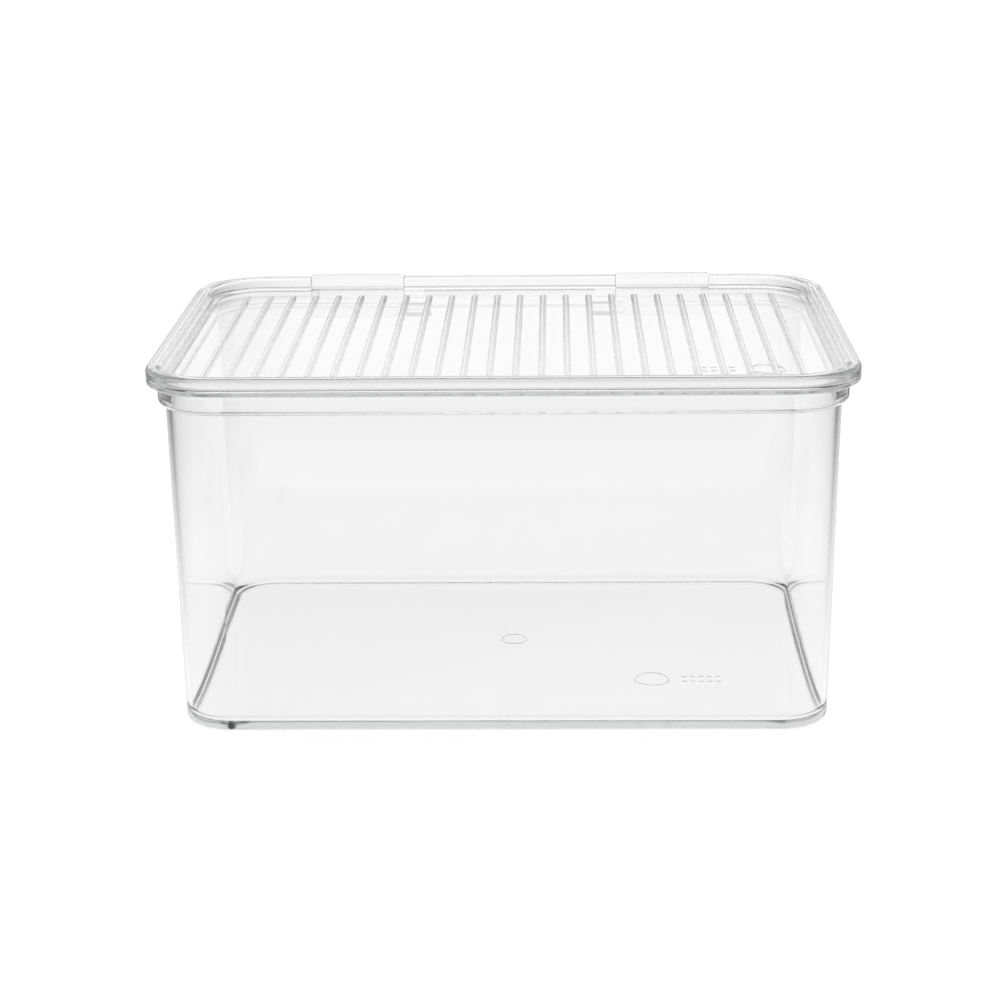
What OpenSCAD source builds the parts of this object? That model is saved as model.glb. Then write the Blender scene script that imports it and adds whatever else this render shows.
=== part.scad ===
// Clear moulded fridge bin with a ribbed lid that hinges on the rear wall.
// Millimetres. The origin is the centre of the base, +X right, +Y to the rear, +Z up.

/* [Overall] */
// Width over the lid, the widest piece
lid_w = 267; // [220:1:330]
// Depth over the lid
lid_d = 184; // [150:1:240]
// Height of the closed box
total_h = 141; // [80:0.5:200]
// Radius of the lid's corners, seen from above
lid_corner_r = 28; // [24:0.5:40]

/* [Lid] */
// Thickness of the flat panel
panel_t = 2.2; // [1.6:0.1:3]
// Depth of the panel's face below the top of the lip
panel_drop = 5.1; // [4:0.1:8]
// Width of the raised lip
lip_w = 6.7; // [5.5:0.1:9]
// Height of the lip's outer face
lip_h = 6.5; // [5:0.1:8]
// Wall of the hollow lip
lip_wall = 2; // [1.4:0.1:2.4]
// Thickness of the lip above its hollow
lip_roof = 4.4; // [3:0.1:4.8]
// Rounding of the lip's outer top edge
lip_round = 2.2; // [1:0.1:2.6]

/* [Lid ribs] */
// Distance from one rib to the next
rib_pitch = 9.75; // [6:0.01:14]
// Width of a rib where it meets the panel
rib_w = 2.8; // [1.4:0.1:4]
// Height of a rib above the panel
rib_h = 0.9; // [0.4:0.1:1.1]
// Least plain panel between the lip and the outer ribs
rib_side_margin = 14; // [8:1:30]
// Plain panel between the lip and the ends of the ribs
rib_end_margin = 14; // [8:1:30]

/* [Bin] */
// Thickness of the side walls
wall_t = 2; // [1.4:0.1:3]
// Thickness of the floor
floor_t = 2.6; // [1.8:0.1:4]
// Lean of each wall for release from the mould, in degrees
draft = 0.83; // [0.3:0.01:1.5]
// How far the lid stands out past the bin's rim
lid_overhang = 4.1; // [3.5:0.1:5]
// How far the rim stands out past the wall
rim_out = 2.7; // [2.6:0.1:4]
// Height of the rim
rim_h = 7.3; // [5:0.1:8]
// Fillet between the floor and the walls, inside
floor_fillet = 3.6; // [1:0.1:6]
// Rounding of the bin's lower outer edge
base_round = 1.2; // [0.5:0.1:3]

/* [Hinge] */
// Height of the hinge axis below the top of the lid
axis_drop = 16; // [14:0.5:20]
// Distance of the hinge axis in front of the tabs' outer face
axis_inset = 3.1; // [2.9:0.1:3.4]
// Width of each hinge tab
tab_w = 40.5; // [20:0.5:50]
// Distance of each tab's middle from the centre of the lid
tab_x = 66.5; // [50:0.5:72]
// Thickness of the tabs
tab_t = 2; // [1.6:0.1:2.4]
// How far the tabs stand out behind the lid's rear edge
tab_proud = 1.6; // [1.4:0.1:1.9]
// Length of the tab below the hinge axis, which stops the open lid
tab_toe = 4.6; // [4:0.1:4.6]
// Radius of the hinge pins
pin_r = 1.7; // [1.2:0.1:2]
// Length of each pin
pin_l = 10.5; // [6:0.5:12]
// Radial clearance of the pins in their lugs
pin_clear = 0.06; // [0.02:0.01:0.1]
// Outer radius of the lugs, and of the knuckles that carry the pins
knuckle_r = 2.8; // [2.6:0.1:3]
// Width of each knuckle
knuckle_w = 4; // [3:0.5:8]
// Width of each lug on the bin
lug_w = 11; // [6:0.5:14]
// Side play between a lug and its knuckle
lug_play = 1; // [0.3:0.1:1.5]

/* [Rim notches] */
// Width of the notch in the rim behind each tab
notch_w = 46; // [20:0.5:50]
// Distance of the notch's middle from the tab's middle, towards the centre
notch_shift = 6.2; // [0:0.1:10]
// Depth of the notch
notch_h = 3.6; // [1:0.1:4.5]

/* [Moulded marks] */
// Outer radius of the gate ring in the floor
gate_r = 5.6; // [3:0.1:8]
// Place of the gate ring on the floor, left to right
gate_x = 2; // [-10:0.5:10]
// Place of the gate ring on the floor, front to back
gate_y = 8; // [-10:0.5:10]
// Outer radius of the plain rings near the right front corner
ring_r = 7; // [4:0.5:9]
// Width of the line of every ring
ring_line = 0.8; // [0.5:0.1:1.5]
// Height of every ring
ring_h = 0.3; // [0.2:0.1:0.5]

/* [Hidden] */
$fn = 64;

seat_gap = 0.15;   // between the closed lid and the rim
join = 0.4;        // how far joined shapes reach into each other
past = 1;          // how far a cut runs past a face

// The corners of every piece turn about the same four centres.
centre_x = lid_w / 2 - lid_corner_r;
centre_y = lid_d / 2 - lid_corner_r;

// Lid heights, and radii about a corner centre
skirt_z = total_h - lip_h;
panel_top = total_h - panel_drop;
panel_z = panel_top - panel_t;
lip_in_r = lid_corner_r - lip_w;
lip_top_in = 1.6;      // rounding of the lip's inner top edge
lip_foot = 0.6;        // rounding of the skirt's lower edges
panel_fillet = 1.4;    // where the panel turns up into the lip
channel_in_r = lip_in_r + lip_wall;
channel_out_r = lid_corner_r - lip_wall;
channel_w = channel_out_r - channel_in_r;
channel_top = total_h - lip_roof;

// Ribs: rounded bars sunk in the panel, as many as fit between the margins
panel_half = lid_w / 2 - lip_w;
rib_count = floor(2 * (panel_half - rib_side_margin) / rib_pitch) + 1;
rib_r = (rib_w * rib_w / 4 + rib_h * rib_h) / (2 * rib_h);
rib_half = lid_d / 2 - lip_w - rib_end_margin - rib_w / 2;

// Bin heights, and radii about a corner centre
rim_top = panel_z - seat_gap;
rim_z = rim_top - rim_h;
rim_r = lid_corner_r - lid_overhang;
wall_top_r = rim_r - rim_out;
rim_round = 2.2;       // rounding of the rim's outer lower edge
rim_top_round = 1.1;   // rounding of the rim's upper edges
rim_fillet = 0.4;      // under the rim, where it meets the wall
function wall_r(z) = wall_top_r - (rim_z - z) * tan(draft);

// Hinge
tab_y = lid_d / 2 + tab_proud;   // outer face of the tabs
axis_y = tab_y - axis_inset;
axis_z = total_h - axis_drop;
tab_in = tab_x - tab_w / 2;
tab_round = 1.5;       // rounding of the tab's lower corners
toe_round = 0.5;       // rounding of the tab's lower edges
lug_out = tab_in - lug_play;
lug_bore_r = pin_r + pin_clear;
knuckle_room = 0.8;    // round the knuckles, cut from the rim
to_middle = [0, -tab_proud / 2, 0];   // brings the origin under the middle of the whole box

// Plain rings
lid_ring = [lid_w / 2 - 34.5, -lid_d / 2 + 33];
floor_ring = [lid_w / 2 - 75.5, -lid_d / 2 + 55];

// A rectangle with its own rounding at each corner, in the order
// lower left, lower right, upper right, upper left.
module soft_rect(low, high, rounding) {
    size = high - low;
    difference() {
        translate(low) square(size);
        for (i = [0:3]) {
            right = (i == 1 || i == 2) ? 1 : 0;
            upper = i > 1 ? 1 : 0;
            r = rounding[i];
            if (r > 0)
                translate(low + [right * size[0], upper * size[1]])
                    mirror([right, 0]) mirror([0, upper])
                        difference() {
                            translate([-past, -past]) square(r + past);
                            translate([r, r]) circle(r);
                        }
        }
    }
}

// Fills the inner corner that faces up and to the left of the given point.
module cove(corner, r) {
    translate(corner) difference() {
        translate([-r, -join]) square([r + join, r + join]);
        translate([-r, r]) circle(r);
    }
}

// One straight stretch of a profile drawn as [out from the corner centre, height].
module stretch(length) {
    rotate([90, 0, 0]) linear_extrude(length, center = true) children();
}

// Carries a profile round all four sides and corners.
module around() {
    for (side = [0, 1]) {
        rotate(180 * side) {
            translate([centre_x, 0, 0]) stretch(2 * centre_y) children();
            rotate(90) translate([centre_y, 0, 0]) stretch(2 * centre_x) children();
        }
    }
    for (sx = [-1, 1], sy = [-1, 1])
        translate([sx * centre_x, sy * centre_y, 0])
            rotate(sx > 0 ? (sy > 0 ? 0 : -90) : (sy > 0 ? 90 : 180))
                rotate_extrude(angle = 90) children();
}

// The rectangle between the four corner centres.
module middle(z, height) {
    translate([-centre_x, -centre_y, z]) cube([2 * centre_x, 2 * centre_y, height]);
}

module ring(place, z, r) {
    translate([place[0], place[1], z - join]) difference() {
        cylinder(r = r, h = ring_h + join);
        translate([0, 0, -past]) cylinder(r = r - ring_line, h = ring_h + join + 2 * past);
    }
}

// A solid of the given wall line, from its foot at z up to the rim, with a round lower edge.
module wall_outline(inset, z, r) {
    edge = [wall_r(z + r) - inset - r / cos(draft), z + r];
    polygon([
        [0, z],
        [edge[0], z],
        edge + r * [cos(draft), -sin(draft)],
        [wall_top_r - inset, rim_z],
        [wall_top_r - inset, rim_top + (inset > 0 ? past : -rim_h / 2)],
        [0, rim_top + (inset > 0 ? past : -rim_h / 2)]
    ]);
    translate(edge) circle(r);
}

module bin_profile() {
    difference() {
        union() {
            wall_outline(0, 0, base_round);
            soft_rect([0, rim_z], [rim_r, rim_top], [0, rim_round, rim_top_round, 0]);
            translate([wall_r(rim_z - rim_fillet), rim_z - rim_fillet]) difference() {
                translate([-join, 0]) square([rim_fillet + join, rim_fillet + join]);
                translate([rim_fillet, 0]) circle(rim_fillet);
            }
        }
        wall_outline(wall_t, floor_t, floor_fillet);
    }
}

module lug(side) {
    root_y = centre_y + wall_r(axis_z) - wall_t / 2;
    translate([side * (lug_out - lug_w / 2), 0, 0]) {
        translate([-lug_w / 2, root_y, axis_z - knuckle_r])
            cube([lug_w, axis_y - root_y, 2 * knuckle_r]);
        translate([0, axis_y, axis_z]) rotate([0, 90, 0])
            cylinder(r = knuckle_r, h = lug_w, center = true);
    }
}

module bin() color("aliceblue", 0.35) difference() {
    union() {
        around() bin_profile();
        middle(0, floor_t);
        for (side = [-1, 1]) lug(side);
        ring([gate_x, gate_y], floor_t, gate_r);
        ring(floor_ring, floor_t, ring_r);
    }
    for (side = [-1, 1]) {
        translate([side * (tab_x - notch_shift) - notch_w / 2, axis_y - lid_corner_r / 2, rim_top - notch_h])
            cube([notch_w, lid_corner_r, notch_h + past]);
        translate([side * (lug_out - lug_w / 2), axis_y, axis_z]) rotate([0, 90, 0])
            cylinder(r = lug_bore_r, h = lug_w + 2 * past, center = true);
        translate([side * lug_out, axis_y, axis_z]) rotate([0, 90 * side, 0])
            cylinder(r = knuckle_r + knuckle_room, h = knuckle_w + 2 * lug_play);
    }
}

module lip_outline() {
    soft_rect([lip_in_r, skirt_z], [lid_corner_r, total_h], [0, lip_foot, lip_round, lip_top_in]);
    soft_rect([lip_in_r, panel_z], [channel_in_r, skirt_z + join], [0, lip_foot, 0, 0]);
    cove([lip_in_r, panel_top], panel_fillet);
}

module lip_profile() {
    ceiling_r = channel_w / 2;
    difference() {
        lip_outline();
        soft_rect([channel_in_r, panel_z - past], [channel_out_r, channel_top], [0, 0, ceiling_r, ceiling_r]);
    }
}

module rib(x) {
    translate([x, 0, panel_top + rib_h - rib_r]) {
        rotate([90, 0, 0]) cylinder(r = rib_r, h = 2 * rib_half, center = true);
        for (end = [-1, 1]) translate([0, end * rib_half, 0]) sphere(rib_r);
    }
}

module tab(side) {
    toe_z = axis_z - tab_toe;
    plate_y = tab_y - tab_t;
    panel_end = lid_d / 2 - lip_w - join;
    // The plate: its face shape, met by its edge shape
    intersection() {
        translate([side * tab_x, tab_y, 0]) rotate([90, 0, 0])
            linear_extrude(tab_t)
                soft_rect([-tab_w / 2, toe_z], [tab_w / 2, total_h], [tab_round, tab_round, 0.4, 0.4]);
        translate([side * tab_x - tab_w / 2, 0, 0]) rotate([90, 0, 90])
            linear_extrude(tab_w)
                soft_rect([plate_y, toe_z], [tab_y, total_h], [toe_round, toe_round, 0.3, 0.3]);
    }
    // The panel reaches the plate
    translate([side * tab_x - tab_w / 2, panel_end, panel_z])
        cube([tab_w, plate_y + tab_t / 2 - panel_end, panel_t]);
    // Knuckle and pin, which points to the centre of the lid
    translate([side * tab_in, axis_y, axis_z]) rotate([0, 90 * side, 0]) {
        cylinder(r = knuckle_r, h = knuckle_w);
        translate([0, 0, -pin_l]) cylinder(r = pin_r, h = pin_l + join);
    }
}

module lid() color("aliceblue", 0.35) {
    difference() {
        union() {
            around() lip_profile();
            around() translate([0, panel_z]) square([lip_in_r + join, panel_t]);
            middle(panel_z, panel_t);
        }
        for (side = [-1, 1])
            translate([side * tab_x - tab_w / 2, lid_d / 2 - lip_w, panel_z - past])
                cube([tab_w, lip_w + past, total_h]);
    }
    for (side = [-1, 1]) tab(side);
    for (i = [0:rib_count - 1]) rib((i - (rib_count - 1) / 2) * rib_pitch);
    ring(lid_ring, panel_top, ring_r);
}

translate(to_middle) bin();
translate(to_middle) lid();
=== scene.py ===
import bmesh
import bpy
from math import cos, pi, radians, sin, tan
from mathutils import Matrix, Vector


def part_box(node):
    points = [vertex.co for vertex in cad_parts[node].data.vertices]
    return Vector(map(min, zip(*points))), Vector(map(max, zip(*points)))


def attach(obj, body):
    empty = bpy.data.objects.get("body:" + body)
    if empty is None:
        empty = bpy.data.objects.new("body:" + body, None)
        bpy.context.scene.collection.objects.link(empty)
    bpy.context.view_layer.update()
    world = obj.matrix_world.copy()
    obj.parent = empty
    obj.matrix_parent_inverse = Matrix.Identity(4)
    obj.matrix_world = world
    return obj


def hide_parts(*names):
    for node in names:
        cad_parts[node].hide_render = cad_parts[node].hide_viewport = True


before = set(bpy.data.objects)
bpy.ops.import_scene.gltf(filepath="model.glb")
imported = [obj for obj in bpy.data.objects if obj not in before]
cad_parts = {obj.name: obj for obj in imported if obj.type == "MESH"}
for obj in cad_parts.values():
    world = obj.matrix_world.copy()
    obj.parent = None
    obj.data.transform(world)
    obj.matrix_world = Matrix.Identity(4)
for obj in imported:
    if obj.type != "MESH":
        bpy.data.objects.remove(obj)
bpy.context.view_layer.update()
scene = bpy.context.scene
mm = 0.001


def linear(code):  # an sRGB hex code as linear RGBA
    parts = [int(code[i:i + 2], 16) / 255 for i in (1, 3, 5)]
    return [p / 12.92 if p <= 0.04045 else ((p + 0.055) / 1.055) ** 2.4 for p in parts] + [1]


def addNode(tree, kind, settings={}, links={}):
    # settings are the node's own properties or input values; links are input to (node, output)
    node = tree.nodes.new(kind)
    for name, value in settings.items():
        if name in node.inputs:
            node.inputs[name].default_value = value
        else:
            setattr(node, name, value)
    for name, (source, output) in links.items():
        tree.links.new(source.outputs[output], node.inputs[name])
    return node


def link(obj):
    scene.collection.objects.link(obj)
    return obj


def meshObject(name, bm):
    mesh = bpy.data.meshes.new(name)
    bm.to_mesh(mesh)
    bm.free()
    return link(bpy.data.objects.new(name, mesh))


def applyModifiers(obj):
    graph = bpy.context.evaluated_depsgraph_get()
    mesh = bpy.data.meshes.new_from_object(obj.evaluated_get(graph))
    obj.modifiers.clear()
    obj.data = mesh


def combine(obj, others, how):  # joins to or cuts from obj, then removes the others
    for other in others:
        mod = obj.modifiers.new(how.lower(), "BOOLEAN")
        mod.operation = how
        mod.solver = "MANIFOLD"
        mod.object = other
        applyModifiers(obj)
        bpy.data.objects.remove(other)


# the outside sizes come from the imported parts
lidLow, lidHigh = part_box("lid")
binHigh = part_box("bin")[1]

lidForm = dict(
    cornerR=28 * mm,      # corner radius seen from above
    lipW=6.7 * mm,        # width of the raised lip
    skirt=6.5 * mm,       # height of the lip's outer face
    panelDrop=5.1 * mm,   # panel's face below the lip's top
    panelT=2.2 * mm,
    wall=2.0 * mm,        # skin of the hollow lip
    roof=4.4 * mm,        # above its hollow
    outerRound=2.2 * mm,
    innerRound=1.6 * mm,
    footRound=0.6 * mm,
    cove=1.4 * mm,        # where the panel turns up into the lip
)
# the lid's tabs stand out behind it, so each moulding is made about the lid's middle and moved at the end
proud = 1.6 * mm
rearY = (lidHigh.y - lidLow.y - proud) / 2
toMiddle = Vector((0, -proud / 2, 0))
centreX = lidHigh.x - lidForm["cornerR"]
centreY = rearY - lidForm["cornerR"]
topZ = lidHigh.z
panelTop = topZ - lidForm["panelDrop"]
panelUnder = panelTop - lidForm["panelT"]
steps = dict(corner=32, arc=8, small=5)   # faces round a corner, a lip edge and a small edge
past = 5 * mm                             # how far a cut runs past a face
same = 1e-6                               # closer points are one


def drawProfile(bm, corners):
    # corners are (out from the corner centre, height, rounding, faces in the rounding); open at both ends
    verts = [bm.verts.new((0, centreY + out, height)) for out, height, r, n in corners]
    for pair in zip(verts, verts[1:]):
        bm.edges.new(pair)
    for i, (out, height, r, n) in enumerate(corners):
        if r <= 0:
            continue
        here = Vector(corners[i][:2])
        before = (Vector(corners[i - 1][:2]) - here).normalized()
        after = (Vector(corners[i + 1][:2]) - here).normalized()
        half = before.angle(after) / 2
        bmesh.ops.bevel(bm, geom=[verts[i]], offset=r / tan(half), offset_type="OFFSET",
                        segments=n, profile=0.5, affect="VERTICES", material=-1)
    return bm.edges[:]


def only(kind, geom):
    return [g for g in geom if isinstance(g, kind)]


def extrudeStraight(bm, edges, step):
    made = bmesh.ops.extrude_edge_only(bm, edges=edges)["geom"]
    bmesh.ops.translate(bm, verts=only(bmesh.types.BMVert, made), vec=step)
    return only(bmesh.types.BMEdge, made)


def carryRound(bm, edges):
    # takes a profile drawn at the middle of the rear round one quarter, then mirrors it twice
    edges = extrudeStraight(bm, edges, (centreX, 0, 0))
    ends = bmesh.ops.spin(bm, geom=edges, cent=(centreX, centreY, 0), axis=(0, 0, 1),
                          angle=-pi / 2, steps=steps["corner"])["geom_last"]
    extrudeStraight(bm, only(bmesh.types.BMEdge, ends), (0, -centreY, 0))
    bmesh.ops.remove_doubles(bm, verts=bm.verts[:], dist=same)
    for axis in "XY":
        everything = bm.verts[:] + bm.edges[:] + bm.faces[:]
        bmesh.ops.mirror(bm, geom=everything, merge_dist=same, axis=axis)
    bmesh.ops.remove_doubles(bm, verts=bm.verts[:], dist=same)


def closeMiddles(bm):  # the two rectangles between the corner centres
    gaps = [e for e in bm.edges if e.is_boundary]
    bmesh.ops.holes_fill(bm, edges=gaps, sides=0)
    bmesh.ops.recalc_face_normals(bm, faces=bm.faces[:])


def block(low, high, edge=0.0):
    bm = bmesh.new()
    bmesh.ops.create_cube(bm, size=1)
    low, high = Vector(low), Vector(high)
    bmesh.ops.scale(bm, verts=bm.verts[:], vec=high - low)
    bmesh.ops.translate(bm, verts=bm.verts[:], vec=(low + high) / 2)
    if edge:
        bmesh.ops.bevel(bm, geom=bm.edges[:], offset=edge, segments=3, profile=0.5,
                        affect="EDGES", material=-1)
    return meshObject("block", bm)


def turned(points, place, turn, faces=48):
    # lathes a profile of (radius, height) about Z, then turns and places it
    bm = bmesh.new()
    verts = [bm.verts.new((r, 0, h)) for r, h in points]
    edges = [bm.edges.new(pair) for pair in zip(verts, verts[1:])]
    bmesh.ops.spin(bm, geom=verts + edges, cent=(0, 0, 0), axis=(0, 0, 1), angle=2 * pi,
                   steps=faces, use_merge=True)
    bmesh.ops.remove_doubles(bm, verts=bm.verts[:], dist=same / 10)
    bmesh.ops.recalc_face_normals(bm, faces=bm.faces[:])
    bmesh.ops.transform(bm, matrix=Matrix.Translation(place) @ turn, verts=bm.verts[:])
    return meshObject("turned", bm)


# plain generic marks stand for the moulded ones
markForm = dict(
    ringR=7 * mm, gateR=5.6 * mm, line=0.8 * mm, height=0.3 * mm, soft=0.1 * mm,
    sunk=0.4 * mm,                 # how far a ring reaches into its face
    gate=(2 * mm, 8 * mm),
    lidIn=(34.5 * mm, 33 * mm),    # in from the right and front
    floorIn=(75.5 * mm, 55 * mm),
    dash=(2.2 * mm, 0.9 * mm),
    firstDash=13 * mm,             # from the ring's middle
    dashPitch=3.4 * mm, dashes=5,
    rowApart=5.2 * mm,
)


def markRing(place, radius):  # a low raised ring, sunk a little into its face
    half, height = markForm["line"] / 2, markForm["height"]
    sunk, soft = markForm["sunk"], markForm["soft"]
    rim = [(radius - half, -sunk), (radius - half, height - soft), (radius - half + soft, height),
           (radius + half - soft, height), (radius + half, height - soft), (radius + half, -sunk)]
    return turned(rim + rim[:1], place, Matrix.Identity(4))


def plainMarks(place, way):  # a ring, and two rows of dashes to one side of it
    f = markForm
    marks = [markRing(place, f["ringR"] - f["line"] / 2)]
    half = Vector((f["dash"][0] / 2, f["dash"][1] / 2, f["height"]))
    for row in (-1, 1):
        for i in range(f["dashes"]):
            along = way * (f["firstDash"] + f["dashPitch"] * i)
            at = place + Vector((along, row * f["rowApart"] / 2, 0))
            marks.append(block(at - half, at + half, f["soft"]))
    return marks


def joinObjects(objects):
    bm = bmesh.new()
    for obj in objects:
        bm.from_mesh(obj.data)
        bpy.data.objects.remove(obj)
    return meshObject("joined", bm)


def finishMoulding(obj, name, body, node):
    obj.name = obj.data.name = name
    bm = bmesh.new()
    bm.from_mesh(obj.data)
    bmesh.ops.remove_doubles(bm, verts=bm.verts[:], dist=2 * same)
    bmesh.ops.dissolve_degenerate(bm, dist=2 * same, edges=bm.edges[:])
    bmesh.ops.translate(bm, verts=bm.verts[:], vec=toMiddle)
    bm.to_mesh(obj.data)
    bm.free()
    for face in obj.data.polygons:
        face.use_smooth = True
    obj.data.set_sharp_from_angle(angle=radians(32))
    mod = obj.modifiers.new("flat faces stay flat", "WEIGHTED_NORMAL")
    mod.mode = "FACE_AREA"
    mod.weight = 100
    mod.keep_sharp = True
    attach(obj, body)
    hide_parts(node)
    return obj


# the hinge, shared by lid and bin
hinge = dict(
    drop=16 * mm,       # axis below the lid's top
    inset=3.1 * mm,     # axis in front of the tabs' outer face
    tabX=66.5 * mm, tabW=40.5 * mm, tabT=2 * mm, toe=4.6 * mm, tabEdge=0.35 * mm,
    pinR=1.7 * mm, pinL=10.5 * mm, boreR=1.76 * mm, pinEdge=0.3 * mm,
    knuckleR=2.8 * mm, knuckleW=4 * mm, lugW=11 * mm, lugEdge=0.3 * mm,
    play=1 * mm, room=0.8 * mm,
    notchW=46 * mm, notchShift=6.2 * mm, notchH=3.6 * mm,
)
tabY = rearY + proud
axisY = tabY - hinge["inset"]
axisZ = topZ - hinge["drop"]
tabIn = hinge["tabX"] - hinge["tabW"] / 2
lugOut = tabIn - hinge["play"]
lugMid = lugOut - hinge["lugW"] / 2

ribForm = dict(pitch=9.75 * mm, width=2.8 * mm, height=0.9 * mm, sideMargin=14 * mm, endMargin=14 * mm)


def lipCorners():
    f, n, s = lidForm, steps["arc"], steps["small"]
    outer, inner = f["cornerR"], f["cornerR"] - f["lipW"]
    channelIn, channelOut = inner + f["wall"], outer - f["wall"]
    ceiling, skirtZ = topZ - f["roof"], topZ - f["skirt"]
    soft = (channelOut - channelIn) / 2 * 0.98     # just short of a full half round
    return [
        (0, panelTop, 0, 0), (inner, panelTop, f["cove"], n),
        (inner, topZ, f["innerRound"], n), (outer, topZ, f["outerRound"], n),
        (outer, skirtZ, f["footRound"], s), (channelOut, skirtZ, f["footRound"] * 0.7, s),
        (channelOut, ceiling, soft, n), (channelIn, ceiling, soft, n),
        (channelIn, panelUnder, f["footRound"], s), (0, panelUnder, 0, 0),
    ]


def rib(x):  # a round bar with round ends, sunk in the panel
    w, h = ribForm["width"], ribForm["height"]
    r = (w * w / 4 + h * h) / (2 * h)
    half = rearY - lidForm["lipW"] - ribForm["endMargin"] - w / 2
    quarter = [(r * sin(a * pi / 12), half + r * cos(a * pi / 12)) for a in range(7)]
    points = quarter + [(out, -along) for out, along in reversed(quarter)]
    return turned(points, (x, 0, panelTop + h - r), Matrix.Rotation(pi / 2, 4, "X"), 36)


def hingeTab(side):
    middle, lap = side * hinge["tabX"], 0.1 * mm      # the plate laps a little into the lip's ends
    halfW = hinge["tabW"] / 2 + lap
    plate = block((middle - halfW, tabY - hinge["tabT"], axisZ - hinge["toe"]),
                  (middle + halfW, tabY, topZ), hinge["tabEdge"])
    r, k, w, soft = hinge["pinR"], hinge["knuckleR"], hinge["knuckleW"], hinge["pinEdge"]
    pin = turned([(0, -hinge["pinL"]), (r - soft, -hinge["pinL"]), (r, soft - hinge["pinL"]), (r, 0),
                  (k - soft, 0), (k, soft), (k, w - soft), (k - soft, w), (0, w)],
                 (side * tabIn, axisY, axisZ), Matrix.Rotation(side * pi / 2, 4, "Y"))
    return [plate, pin]


def buildLid():
    bm = bmesh.new()
    carryRound(bm, drawProfile(bm, lipCorners()))
    closeMiddles(bm)
    lid = meshObject("lid_shell", bm)
    f = lidForm
    inner = rearY - f["lipW"]
    # the lip stops at the tabs, and the bare panel runs on to them
    spans = [(side * hinge["tabX"] - hinge["tabW"] / 2, side * hinge["tabX"] + hinge["tabW"] / 2)
             for side in (-1, 1)]
    gaps = [block((a, inner, panelUnder - past), (b, rearY + past, topZ + past)) for a, b in spans]
    combine(lid, gaps, "DIFFERENCE")
    shelves = [block((a, inner - f["wall"], panelUnder), (b, tabY - hinge["tabT"] / 2, panelTop))
               for a, b in spans]
    combine(lid, shelves, "UNION")
    count = int(2 * (lidHigh.x - f["lipW"] - ribForm["sideMargin"]) / ribForm["pitch"]) + 1
    ribs = [rib((i - (count - 1) / 2) * ribForm["pitch"]) for i in range(count)]
    combine(lid, [joinObjects(ribs)], "UNION")
    combine(lid, hingeTab(-1) + hingeTab(1), "UNION")
    place = Vector((lidHigh.x - markForm["lidIn"][0], -rearY + markForm["lidIn"][1], panelTop))
    combine(lid, plainMarks(place, -1), "UNION")
    print("lid built with", count, "ribs")
    return lid


lidPiece = finishMoulding(buildLid(), "lid_moulding", "lid", "lid")

binForm = dict(
    wall=2.0 * mm, floor=2.6 * mm, draft=0.83,     # draft in degrees
    rimOut=2.7 * mm, rimH=7.3 * mm, rimRound=2.2 * mm, rimTopRound=1.1 * mm, rimFillet=0.4 * mm,
    floorFillet=3.6 * mm, baseRound=1.2 * mm,
)
rimR = binHigh.x - centreX
rimTop = binHigh.z
wallTop = rimR - binForm["rimOut"]                 # outer wall under the rim


def wallCorners():
    f, n, s = binForm, steps["arc"], steps["small"]
    rimZ = rimTop - f["rimH"]
    lean = tan(radians(f["draft"]))
    foot = wallTop - rimZ * lean                       # outer wall at the base
    inside = foot - f["wall"] + f["floor"] * lean      # inner wall at the floor
    mouth = wallTop - f["wall"]
    return [
        (0, f["floor"], 0, 0), (inside, f["floor"], f["floorFillet"], n),
        (mouth, rimZ, 0, 0), (mouth, rimTop, f["rimTopRound"], s),
        (rimR, rimTop, f["rimTopRound"], s), (rimR, rimZ, f["rimRound"], n),
        (wallTop, rimZ, f["rimFillet"], s), (foot, 0, f["baseRound"], n), (0, 0, 0, 0),
    ]


def lug(side):  # bearing for one hinge pin: half round behind, square to the wall's middle in front
    r = hinge["knuckleR"]
    reach = axisY - centreY - wallTop + binForm["wall"] / 2
    bm = bmesh.new()
    top = bm.verts.new((0, 0, r))
    front = bm.verts.new((0, -reach, r))
    bm.edges.new((top, front))
    bmesh.ops.spin(bm, geom=[top], cent=(0, 0, 0), axis=(1, 0, 0), angle=-pi, steps=24)
    bmesh.ops.remove_doubles(bm, verts=bm.verts[:], dist=same / 10)
    low = min(bm.verts, key=lambda v: (v.co.z, abs(v.co.y)))
    under = bm.verts.new((0, -reach, -r))
    bm.edges.new((low, under))
    bm.edges.new((under, front))
    face = bmesh.ops.contextual_create(bm, geom=bm.edges[:])["faces"]
    body = bmesh.ops.extrude_face_region(bm, geom=face)["geom"]
    bmesh.ops.translate(bm, verts=only(bmesh.types.BMVert, body), vec=(hinge["lugW"], 0, 0))
    bmesh.ops.recalc_face_normals(bm, faces=bm.faces[:])
    ends = [e for e in bm.edges if len({round(v.co.x, 6) for v in e.verts}) == 1]
    bmesh.ops.bevel(bm, geom=ends, offset=hinge["lugEdge"], segments=2, profile=0.5,
                    affect="EDGES", material=-1)
    bmesh.ops.translate(bm, verts=bm.verts[:], vec=(side * lugMid - hinge["lugW"] / 2, axisY, axisZ))
    return meshObject("lug", bm)


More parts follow.
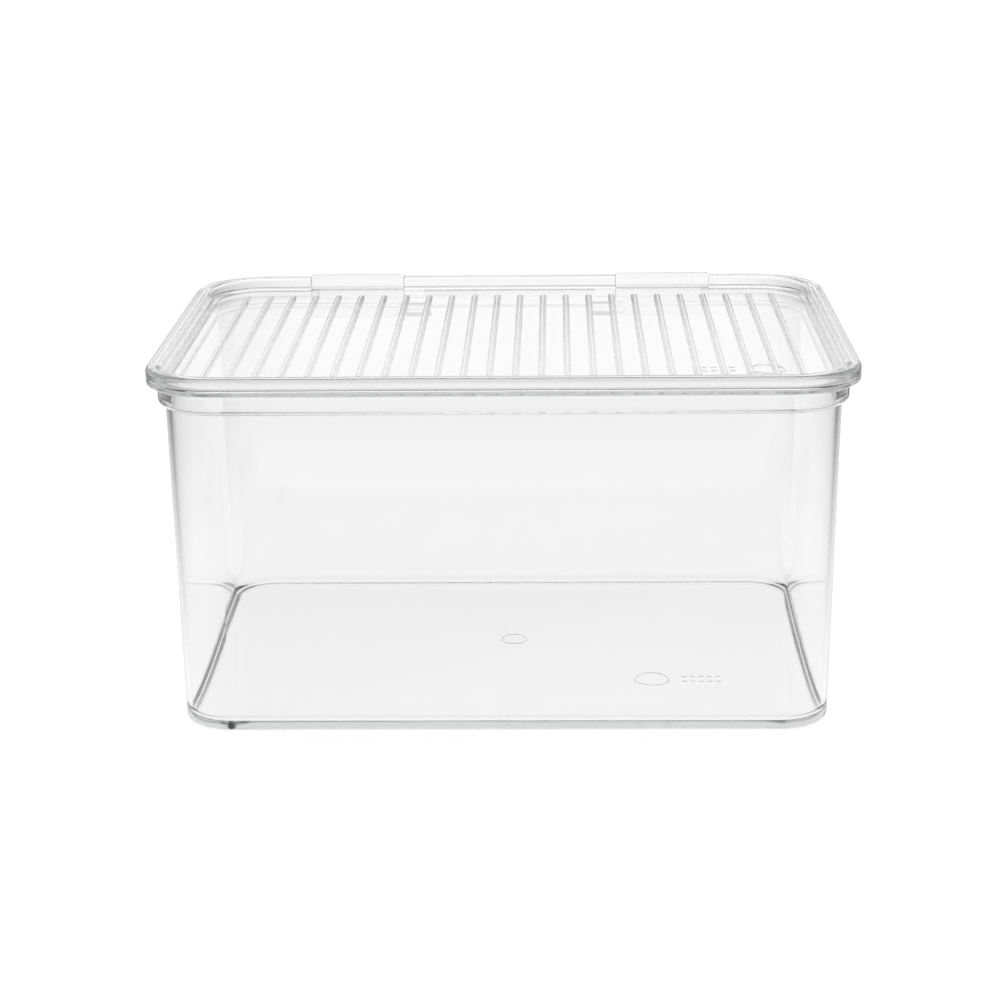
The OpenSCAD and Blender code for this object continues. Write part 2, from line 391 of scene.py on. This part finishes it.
def buildBin():
    bm = bmesh.new()
    carryRound(bm, drawProfile(bm, wallCorners()))
    closeMiddles(bm)
    shell = meshObject("bin_shell", bm)
    notches = []
    for side in (-1, 1):
        middle = side * (hinge["tabX"] - hinge["notchShift"])
        notches.append(block((middle - hinge["notchW"] / 2, centreY + 2 * past, rimTop - hinge["notchH"]),
                             (middle + hinge["notchW"] / 2, rearY + past, rimTop + past)))
    combine(shell, notches, "DIFFERENCE")
    combine(shell, [lug(side) for side in (-1, 1)], "UNION")
    half = hinge["lugW"] / 2 + 2 * mm
    bores = [turned([(0, -half), (hinge["boreR"], -half), (hinge["boreR"], half), (0, half)],
                    (side * lugMid, axisY, axisZ), Matrix.Rotation(pi / 2, 4, "Y")) for side in (-1, 1)]
    combine(shell, bores, "DIFFERENCE")
    r, length = hinge["knuckleR"] + hinge["room"], hinge["knuckleW"] + 2 * hinge["play"]
    rooms = [turned([(0, 0), (r, 0), (r, length), (0, length)], (side * lugOut, axisY, axisZ),
                    Matrix.Rotation(side * pi / 2, 4, "Y")) for side in (-1, 1)]
    combine(shell, rooms, "DIFFERENCE")
    place = Vector((lidHigh.x - markForm["floorIn"][0], -rearY + markForm["floorIn"][1], binForm["floor"]))
    gate = Vector((*markForm["gate"], binForm["floor"]))
    gateRing = markRing(gate, markForm["gateR"] - markForm["line"] / 2)
    combine(shell, plainMarks(place, 1) + [gateRing], "UNION")
    print("bin built")
    return shell


binPiece = finishMoulding(buildBin(), "bin_moulding", "bin", "bin")


plastic = dict(
    tint="#bcbfc0", depth=3.0,          # faint grey, and how fast it builds up along an edge
    index=1.59,                         # how strongly it bends light
    wave=70 * mm, waviness=0.035,       # slow waves left by the flow
    haze=16 * mm, hazeFrom=0.35, hazeTo=0.75, dullest=0.035,     # faint patches, and their roughness
)


def clearPolystyrene(name):
    # clear polystyrene, injection moulded in a polished tool: a hard water-clear body with sharp gloss,
    # a faint grey depth along its edges, and the slow waves and faint haze that the flow leaves
    mat = bpy.data.materials.new(name)
    mat.use_nodes = True
    tree = mat.node_tree
    tree.nodes.clear()
    place = addNode(tree, "ShaderNodeTexCoord")
    flow = addNode(tree, "ShaderNodeTexNoise",
                   {"Scale": 1 / plastic["wave"], "Detail": 2.0, "Roughness": 0.4},
                   {"Vector": (place, "Object")})
    bump = addNode(tree, "ShaderNodeBump", {"Strength": plastic["waviness"], "Distance": 1 * mm},
                   {"Height": (flow, "Fac")})
    haze = addNode(tree, "ShaderNodeTexNoise",
                   {"Scale": 1 / plastic["haze"], "Detail": 5.0, "Roughness": 0.6},
                   {"Vector": (place, "Object")})
    gloss = addNode(tree, "ShaderNodeMapRange",
                    {"From Min": plastic["hazeFrom"], "From Max": plastic["hazeTo"],
                     "To Min": 0.0, "To Max": plastic["dullest"]},
                    {"Value": (haze, "Fac")})
    shader = addNode(tree, "ShaderNodeBsdfPrincipled",
                     {"Base Color": (1, 1, 1, 1), "IOR": plastic["index"], "Transmission Weight": 1.0},
                     {"Roughness": (gloss, "Result"), "Normal": (bump, "Normal")})
    depth = addNode(tree, "ShaderNodeVolumeAbsorption",
                    {"Color": linear(plastic["tint"]), "Density": plastic["depth"]})
    addNode(tree, "ShaderNodeOutputMaterial", {},
            {"Surface": (shader, "BSDF"), "Volume": (depth, "Volume")})
    return mat


clear = clearPolystyrene("clear moulded polystyrene")
for piece in (lidPiece, binPiece):
    piece.data.materials.clear()
    piece.data.materials.append(clear)

studio = dict(
    floorHalf=30, airGap=0.2 * mm,       # half the floor's side, and a hair of air under the base
    floor="#a0a0a0", backdrop=0.90,      # its colour, and how bright it looks
    paintedGlow=0.85, paintedGlowFar=0.05,                # painted glow of the table near the bin, and far from it
    sides=(0.14, 0.48),                  # the painted glow falls off between these, left and right of the middle
    fore=(-0.3, -0.09),                  # and comes up between these, front to back
    dim=0.04, bright=0.55,               # the room in front of the table, and where it is fully lit
    softbox=(0.84, 0.88),                # its edge overhead
    room=((0.0, 1.0), (0.27, 1.0), (0.34, 0.92), (0.41, 0.86), (0.50, 0.45),    # brightness by height
          (0.60, 0.05), (0.84, 0.05), (0.88, 1.4)),
)


def makeFloor():
    bm = bmesh.new()
    bmesh.ops.create_grid(bm, x_segments=1, y_segments=1, size=studio["floorHalf"])
    bmesh.ops.translate(bm, verts=bm.verts[:], vec=(0, 0, -studio["airGap"]))
    floor = meshObject("floor", bm)
    mat = bpy.data.materials.new("white sweep")
    mat.use_nodes = True
    tree = mat.node_tree
    tree.nodes.clear()
    seen = addNode(tree, "ShaderNodeLightPath")
    # a painted pool of light: the table glows round the bin and behind it, and the glow falls off to the
    # front and the sides
    spot = addNode(tree, "ShaderNodeTexCoord")
    away = addNode(tree, "ShaderNodeSeparateXYZ", {}, {"Vector": (spot, "Object")})
    aside = addNode(tree, "ShaderNodeMath", {"operation": "ABSOLUTE"}, {0: (away, "X")})
    near, far = studio["sides"]
    sides = addNode(tree, "ShaderNodeMapRange",
                    {"From Min": near, "From Max": far, "To Min": studio["paintedGlow"], "To Max": studio["paintedGlowFar"]},
                    {"Value": (aside, "Value")})
    far, near = studio["fore"]
    fore = addNode(tree, "ShaderNodeMapRange",
                   {"From Min": far, "From Max": near, "To Min": studio["paintedGlowFar"], "To Max": studio["paintedGlow"]},
                   {"Value": (away, "Y")})
    # painted light: the floor's glow set by place, brightest near the bin
    paintedGlow = addNode(tree, "ShaderNodeMath", {"operation": "MINIMUM"},
                  {0: (sides, "Result"), 1: (fore, "Result")})
    glow = addNode(tree, "ShaderNodeMapRange", {"To Max": studio["backdrop"]},
                   {"Value": (seen, "Is Camera Ray"), "To Min": (paintedGlow, "Value")})
    shader = addNode(tree, "ShaderNodeBsdfPrincipled",
                     {"Base Color": linear(studio["floor"]), "Roughness": 0.9, "Specular IOR Level": 0.0,
                      "Emission Color": (1, 1, 1, 1)}, {"Emission Strength": (glow, "Result")})
    addNode(tree, "ShaderNodeOutputMaterial", {}, {"Surface": (shader, "BSDF")})
    floor.data.materials.append(mat)


def makeRoom():
    world = bpy.data.worlds.new("studio")
    scene.world = world
    world.use_nodes = True
    tree = world.node_tree
    tree.nodes.clear()
    place = addNode(tree, "ShaderNodeTexCoord")
    parts = addNode(tree, "ShaderNodeSeparateXYZ", {}, {"Vector": (place, "Generated")})
    height = addNode(tree, "ShaderNodeValToRGB", {}, {"Fac": (parts, "Z")})
    stops = height.color_ramp.elements
    stops.remove(stops[1])
    for i, (position, level) in enumerate(studio["room"]):
        stop = stops[0] if i == 0 else stops.new(position)
        stop.position = position
        stop.color = (level, level, level, 1)
    # the room is dark in front of the table; only the softbox overhead reaches round
    front = addNode(tree, "ShaderNodeMapRange",
                    {"From Min": 0.0, "From Max": studio["bright"], "To Min": studio["dim"], "To Max": 1.0},
                    {"Value": (parts, "Y")})
    low, high = studio["softbox"]
    above = addNode(tree, "ShaderNodeMapRange", {"From Min": low, "From Max": high},
                    {"Value": (parts, "Z")})
    reach = addNode(tree, "ShaderNodeMath", {"operation": "MAXIMUM"},
                    {0: (front, "Result"), 1: (above, "Result")})
    back = addNode(tree, "ShaderNodeBackground", {},
                   {"Color": (height, "Color"), "Strength": (reach, "Value")})
    addNode(tree, "ShaderNodeOutputWorld", {}, {"Surface": (back, "Background")})


def makeCamera():
    # lens and place give the product view: a little to the right, 17.5 degrees down
    view = dict(lens=82.8, place=(0.0195, -0.8986, 0.3495), down=17.505, turn=1.44, roll=-0.654)
    data = bpy.data.cameras.new("camera")
    data.lens = view["lens"]
    data.sensor_width = 36
    data.clip_end = 100
    cam = link(bpy.data.objects.new("camera", data))
    cam.location = view["place"]
    turn = Matrix.Rotation(radians(view["turn"]), 3, "Z")
    down = Matrix.Rotation(radians(90 - view["down"]), 3, "X")
    roll = Matrix.Rotation(radians(view["roll"]), 3, "Z")
    cam.rotation_euler = (turn @ down @ roll).to_euler()
    scene.camera = cam


makeFloor()
makeRoom()
makeCamera()
scene.view_settings.view_transform = "Standard"
bounces = 96      # light is carried along inside clear walls
scene.cycles.max_bounces = bounces
scene.cycles.transmission_bounces = bounces
scene.cycles.glossy_bounces = bounces
print("floor, room and camera set")
